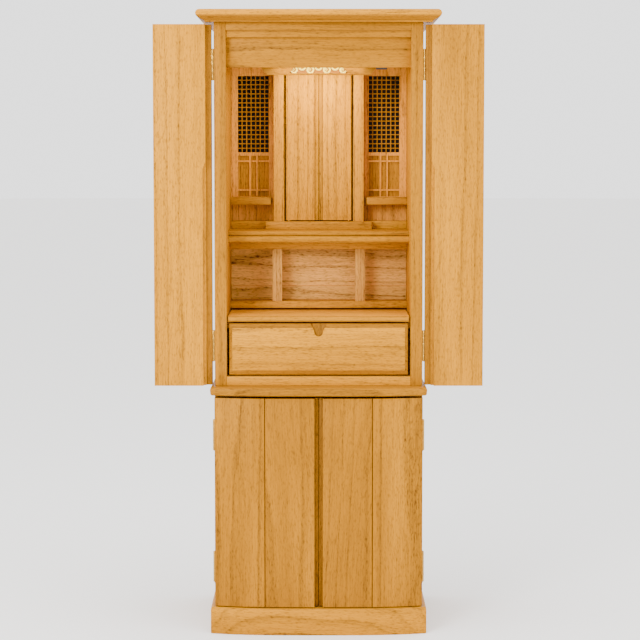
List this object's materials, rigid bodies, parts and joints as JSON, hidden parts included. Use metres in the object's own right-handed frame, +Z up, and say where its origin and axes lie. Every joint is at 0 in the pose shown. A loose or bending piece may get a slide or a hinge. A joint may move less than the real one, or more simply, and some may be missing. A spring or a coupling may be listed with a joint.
{
  "type": "household altar cabinet",
  "caption": "Floor-standing wooden household altar cabinet: folding doors above a bowed double-door cupboard, with a shrine, lattice screens, drawer and pull-out board inside.",
  "frame": {"origin": "middle of the cabinet's footprint, on the floor", "axes": "+X to the viewer's right when facing the doors, +Y from the front to the back, +Z up"},
  "size_m": [0.6834, 0.4, 1.2998],
  "materials": {
    "straight_wood": "light straight-grained hardwood with a satin clear lacquer",
    "moulded_wood": "the same hardwood, moulded along its edge, satin clear lacquer",
    "inner_wood": "the same hardwood inside the case, satin, warmed by the lamp",
    "carved_wood": "pale unstained carved wood, matt",
    "black_board": "board painted matt black",
    "brass": "polished brass, slightly dulled",
    "dark_plastic": "dark matt moulded plastic"
  },
  "bodies": {
    "cabinet": {"base_plinth": "straight_wood", "lower_side_left": "straight_wood", "lower_side_right": "straight_wood", "lower_floor": "inner_wood", "lower_back": "inner_wood", "tier_board": "straight_wood", "upper_side_left": "straight_wood", "upper_side_right": "straight_wood", "upper_floor": "straight_wood", "upper_back": "inner_wood", "crown": "moulded_wood", "cornice": "moulded_wood", "header_board": "straight_wood", "ceiling_board": "inner_wood", "valance": "inner_wood", "transom_carving": "carved_wood", "lamp": "dark_plastic", "tray_runner_left": "inner_wood", "tray_runner_right": "inner_wood", "niche_sill": "straight_wood", "niche_rail": "straight_wood", "niche_post_left": "straight_wood", "niche_post_right": "straight_wood", "niche_back": "straight_wood", "shelf_lower": "moulded_wood", "shelf_upper": "moulded_wood", "shrine_plinth": "straight_wood", "low_step_left": "inner_wood", "low_step_right": "inner_wood", "side_shelf_left": "straight_wood", "side_shelf_right": "straight_wood", "shrine_side_left": "straight_wood", "shrine_side_right": "straight_wood", "screen_left": "inner_wood", "screen_right": "inner_wood", "screen_backing_left": "black_board", "screen_backing_right": "black_board", "upper_hinge_top_left": "brass", "upper_hinge_top_right": "brass", "upper_hinge_bottom_left": "brass", "upper_hinge_bottom_right": "brass", "lower_hinge_top_left": "brass", "lower_hinge_top_right": "brass", "lower_hinge_bottom_left": "brass", "lower_hinge_bottom_right": "brass"},
    "left_outer_leaf": {"outer_leaf_left": "straight_wood", "fold_hinge_top_left": "brass", "fold_hinge_bottom_left": "brass"},
    "left_inner_leaf": {"inner_leaf_left": "straight_wood"},
    "right_outer_leaf": {"outer_leaf_right": "straight_wood", "fold_hinge_top_right": "brass", "fold_hinge_bottom_right": "brass"},
    "right_inner_leaf": {"inner_leaf_right": "straight_wood"},
    "left_lower_door": {"lower_door_left": "straight_wood"},
    "right_lower_door": {"lower_door_right": "straight_wood"},
    "left_shrine_door": {"shrine_door_left": "straight_wood"},
    "right_shrine_door": {"shrine_door_right": "straight_wood"},
    "drawer": {"drawer_front": "straight_wood", "drawer_box": "inner_wood"},
    "board": {"pull_out_board": "straight_wood"}
  },
  "joints": [
    {"name": "left_leaf_swing", "type": "hinge", "parent": "cabinet", "child": "left_outer_leaf", "pos_m": [-0.21925, -0.148, 0.9], "axis": [0, 0, 1], "range_deg": [0, 180]},
    {"name": "left_leaf_fold", "type": "hinge", "parent": "left_outer_leaf", "child": "left_inner_leaf", "pos_m": [-0.336, -0.148, 0.9], "axis": [0, 0, 1], "range_deg": [-180, 0]},
    {"name": "right_leaf_swing", "type": "hinge", "parent": "cabinet", "child": "right_outer_leaf", "pos_m": [0.21925, -0.148, 0.9], "axis": [0, 0, -1], "range_deg": [0, 180]},
    {"name": "right_leaf_fold", "type": "hinge", "parent": "right_outer_leaf", "child": "right_inner_leaf", "pos_m": [0.336, -0.148, 0.9], "axis": [0, 0, -1], "range_deg": [-180, 0]},
    {"name": "left_lower_swing", "type": "hinge", "parent": "cabinet", "child": "left_lower_door", "pos_m": [-0.21925, -0.156, 0.28], "axis": [0, 0, 1], "range_deg": [-170, 0]},
    {"name": "right_lower_swing", "type": "hinge", "parent": "cabinet", "child": "right_lower_door", "pos_m": [0.21925, -0.156, 0.28], "axis": [0, 0, -1], "range_deg": [-170, 0]},
    {"name": "left_shrine_swing", "type": "hinge", "parent": "cabinet", "child": "left_shrine_door", "pos_m": [-0.065, 0.05, 1.03], "axis": [0, 0, 1], "range_deg": [-90, 0]},
    {"name": "right_shrine_swing", "type": "hinge", "parent": "cabinet", "child": "right_shrine_door", "pos_m": [0.065, 0.05, 1.03], "axis": [0, 0, -1], "range_deg": [-90, 0]},
    {"name": "drawer_slide", "type": "slide", "parent": "cabinet", "child": "drawer", "axis": [0, 1, 0], "range_m": [-0.24, 0]},
    {"name": "board_slide", "type": "slide", "parent": "cabinet", "child": "board", "axis": [0, 1, 0], "range_m": [-0.2, 0]}
  ],
  "couplings": [
    {"joint": "left_leaf_fold", "follows": "left_leaf_swing", "ratio": -1},
    {"joint": "right_leaf_fold", "follows": "right_leaf_swing", "ratio": -1}
  ]
}
